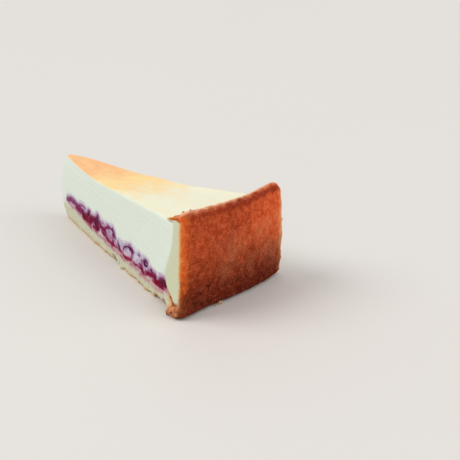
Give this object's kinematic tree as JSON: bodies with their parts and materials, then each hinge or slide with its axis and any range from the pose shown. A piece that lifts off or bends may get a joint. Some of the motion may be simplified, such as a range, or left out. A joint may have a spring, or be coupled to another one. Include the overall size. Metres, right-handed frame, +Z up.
{
  "type": "slice of cranberry quark cheesecake",
  "caption": "Wedge of baked quark cheesecake on a pale pastry base, with a band of cranberries above it and a browned pastry rim.",
  "frame": {"origin": "middle of the slice's footprint, at the height it stands on", "axes": "+X from the tip towards the crust, +Z up, the two cuts face -Y and +Y"},
  "size_m": [0.1255, 0.062, 0.0451],
  "materials": {
    "pastry": "pale baked shortcrust, matte and crumbly, golden along its lower edge",
    "cranberry": "dark red-purple cooked berries with wet skins and paler insides",
    "quark": "smooth moist baked quark, cream white, orange-browned on top near the tip",
    "crust": "browned grainy shortcrust, orange-brown, darker towards its foot and under its rim"
  },
  "bodies": {
    "root": {"pastry_base": "pastry", "cranberry_layer": "cranberry", "quark_filling": "quark", "pastry_wall": "crust"}
  },
  "joints": []
}
